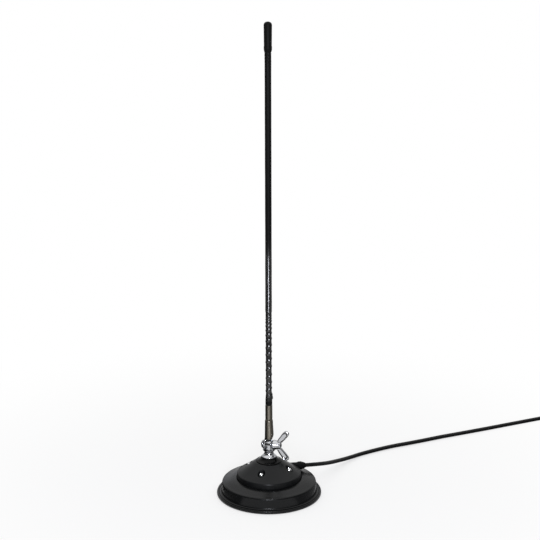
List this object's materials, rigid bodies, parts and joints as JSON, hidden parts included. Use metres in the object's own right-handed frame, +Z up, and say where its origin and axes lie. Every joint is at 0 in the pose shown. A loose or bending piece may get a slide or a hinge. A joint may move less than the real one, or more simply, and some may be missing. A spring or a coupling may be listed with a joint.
{
  "type": "magnetic mount antenna",
  "caption": "Whip antenna with a loading coil under heat-shrink, on a wing-nut tilt joint and a round rubber-booted magnet base, with coaxial cable and screw-ring plug.",
  "frame": {"origin": "middle of the rubber boot's flat underside", "axes": "+Z up along the whip; +X along the tilt joint's axis, towards the wing nut"},
  "size_m": [0.4781, 0.43, 0.5689],
  "materials": {
    "rubber": "satin",
    "painted_cover": "satin",
    "gloss_insulator": "gloss",
    "chrome": "polished",
    "nickel": "satin",
    "steel": "plated",
    "brass": "plain",
    "ferrite": "sintered",
    "heat_shrink": "satin",
    "glass_fibre": "plain",
    "enamelled_wire": "enamelled",
    "nylon": "plain",
    "cable_jacket": "satin"
  },
  "bodies": {
    "base": {"rubber_boot": "rubber", "magnet_cup": "steel", "ring_magnet": "ferrite", "pole_disc": "steel", "cover": "painted_cover", "cover_screw_1": "chrome", "cover_screw_2": "chrome", "cover_screw_3": "chrome", "cover_screw_4": "chrome", "insulator_collar": "gloss_insulator", "insulator_bush": "nylon", "solder_tag": "brass", "stud_nut": "steel", "knuckle_base": "chrome", "lock_washer": "steel", "cable_gland": "rubber", "cable": "cable_jacket", "cable_coil": "cable_jacket", "cable_tie": "nylon", "cable_tail": "cable_jacket", "centre_lead": "enamelled_wire", "earth_lead": "brass", "plug_reducer": "nickel", "plug_body": "nickel", "plug_insulator": "nylon", "plug_pin": "brass"},
    "whip": {"tilt_ferrule": "nickel", "pivot_screw": "chrome", "whip_ferrule": "nickel", "whip_rod": "glass_fibre", "loading_coil": "enamelled_wire", "shrink_sleeve": "heat_shrink", "tip_cap": "rubber"},
    "wing_nut": {"wing_nut": "chrome"},
    "coupling_ring": {"coupling_ring": "nickel"}
  },
  "joints": [
    {"name": "whip_tilt", "type": "hinge", "parent": "base", "child": "whip", "pos_m": [0, 0, 0.0632], "axis": [1, 0, 0], "range_deg": [-90, 90]},
    {"name": "wing_nut_spin", "type": "hinge", "parent": "whip", "child": "wing_nut", "pos_m": [0, 0, 0.0632], "axis": [1, 0, 0], "range_deg": [0, 360]},
    {"name": "coupling_ring_spin", "type": "hinge", "parent": "base", "child": "coupling_ring", "pos_m": [0.406, 0.24, 0.0093], "axis": [0, -1, 0], "continuous": true}
  ]
}
